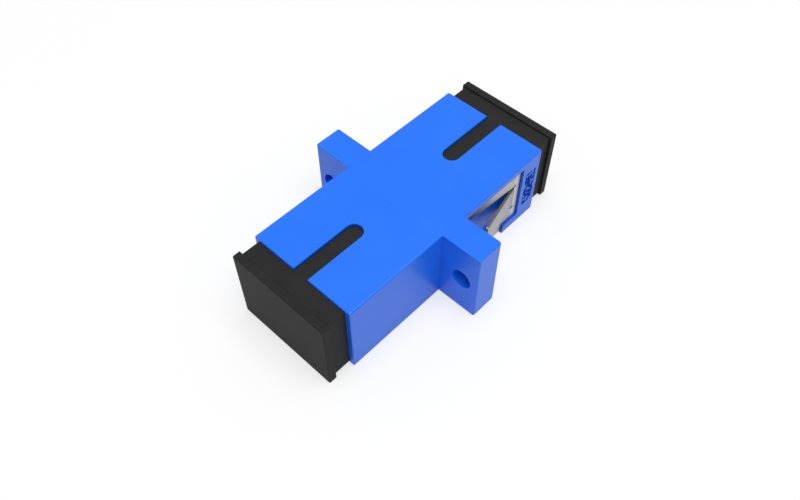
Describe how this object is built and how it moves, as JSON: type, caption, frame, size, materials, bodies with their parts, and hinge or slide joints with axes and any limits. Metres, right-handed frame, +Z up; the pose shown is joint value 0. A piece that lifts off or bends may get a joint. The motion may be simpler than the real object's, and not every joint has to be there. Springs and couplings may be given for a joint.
{
  "type": "sc fibre adapter",
  "caption": "Flanged simplex fibre-optic adapter with keyed ports, a split ceramic alignment sleeve, a sprung panel clip, screw holes and pull-off dust caps.",
  "frame": {"origin": "on the optical axis, in the middle of the flange, which is the centre of the bounding box", "axes": "+Y along the optical axis from the plain half to the half with the panel clip, +Z up towards the keyways, +X across towards the ear with the rounded corner"},
  "size_m": [0.0224, 0.034, 0.0092],
  "materials": {
    "housing": "satin moulded",
    "cap": "fine matt",
    "clip": "rolled sheet",
    "holder": "natural moulded",
    "sleeve": "ground"
  },
  "bodies": {
    "adapter": {"housing_front": "housing", "housing_rear": "housing", "sleeve_holder_front": "holder", "sleeve_holder_rear": "holder", "split_sleeve": "sleeve", "panel_clip": "clip"},
    "front_cap": {"dust_cap_front": "cap"},
    "rear_cap": {"dust_cap_rear": "cap"}
  },
  "joints": [
    {"name": "dust_cap_front_pull", "type": "slide", "parent": "adapter", "child": "front_cap", "axis": [0, -1, 0], "range_m": [0, 0.012]},
    {"name": "dust_cap_rear_pull", "type": "slide", "parent": "adapter", "child": "rear_cap", "axis": [0, 1, 0], "range_m": [0, 0.012]}
  ]
}
